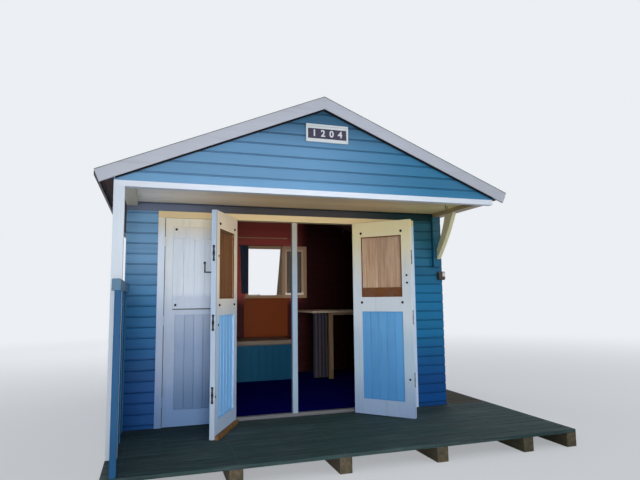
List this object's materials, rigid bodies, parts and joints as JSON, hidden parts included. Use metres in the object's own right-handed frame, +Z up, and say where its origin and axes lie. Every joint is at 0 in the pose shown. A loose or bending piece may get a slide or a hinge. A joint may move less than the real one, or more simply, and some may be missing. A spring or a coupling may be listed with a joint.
{
  "type": "timber beach hut",
  "caption": "Timber beach hut with a gabled canopy on a post and a bracket, an open deck with a side screen, folding glazed doors standing open, a bench and a back window.",
  "frame": {"origin": "on the ground under the middle of the front wall's outer face, at the underside of the middle bearer", "axes": "+X to the right along the front, +Y from the front wall to the back wall, +Z up"},
  "size_m": [4.112, 4.9523, 3.1686],
  "materials": {
    "wall_paint": "satin",
    "gable_paint": "satin",
    "white_paint": "satin",
    "barge_paint": "satin",
    "eaves_paint": "satin",
    "pale_blue_paint": "satin",
    "screen_paint": "satin",
    "roof_felt": "matt",
    "inner_timber": "satin",
    "deck_timber": "weathered",
    "floor_paint": "satin",
    "bench_paint": "satin",
    "worktop_board": "satin",
    "curtain_cloth": "matt",
    "sign_paint": "satin",
    "dark_iron": "satin",
    "lamp_body": "matt",
    "clear_glass": "clear"
  },
  "bodies": {
    "root": {"front_wall_left": "wall_paint", "front_wall_right": "wall_paint", "left_wall": "wall_paint", "right_wall": "wall_paint", "back_wall": "wall_paint", "front_wall_gable": "wall_paint", "bracket_plate": "wall_paint", "canopy_gable": "gable_paint", "canopy_beam": "white_paint", "canopy_sides": "white_paint", "canopy_post": "white_paint", "soffit": "white_paint", "bracket_strut": "white_paint", "door_jambs": "white_paint", "door_head": "white_paint", "door_mullion": "white_paint", "door_leaf_inner_left": "white_paint", "door_leaf_inner_right": "white_paint", "door_leaf_outer_left": "white_paint", "door_leaf_outer_right": "white_paint", "door_shutters": "white_paint", "window_frame": "white_paint", "window_sash": "white_paint", "window_casement": "white_paint", "front_barge_left": "barge_paint", "front_barge_right": "barge_paint", "back_barge_left": "barge_paint", "back_barge_right": "barge_paint", "eaves_trims": "eaves_paint", "door_panels": "pale_blue_paint", "screen_rails": "pale_blue_paint", "screen_end_post": "pale_blue_paint", "screen_front": "screen_paint", "screen_back": "screen_paint", "roof_left": "roof_felt", "roof_right": "roof_felt", "ridge_cap": "roof_felt", "rafters": "inner_timber", "ridge_beam": "inner_timber", "bench_back_panel": "inner_timber", "front_deck": "deck_timber", "side_walkway": "deck_timber", "bearers": "deck_timber", "door_sill": "deck_timber", "door_chock": "deck_timber", "floor": "floor_paint", "bench_front": "bench_paint", "bench_end": "bench_paint", "bench_seat": "bench_paint", "worktop": "worktop_board", "worktop_leg": "worktop_board", "worktop_curtain": "curtain_cloth", "window_curtains": "curtain_cloth", "sign_board": "sign_paint", "door_hinges": "dark_iron", "corner_lamp": "lamp_body", "door_glass": "clear_glass", "window_pane": "clear_glass", "casement_pane": "clear_glass"}
  },
  "joints": []
}
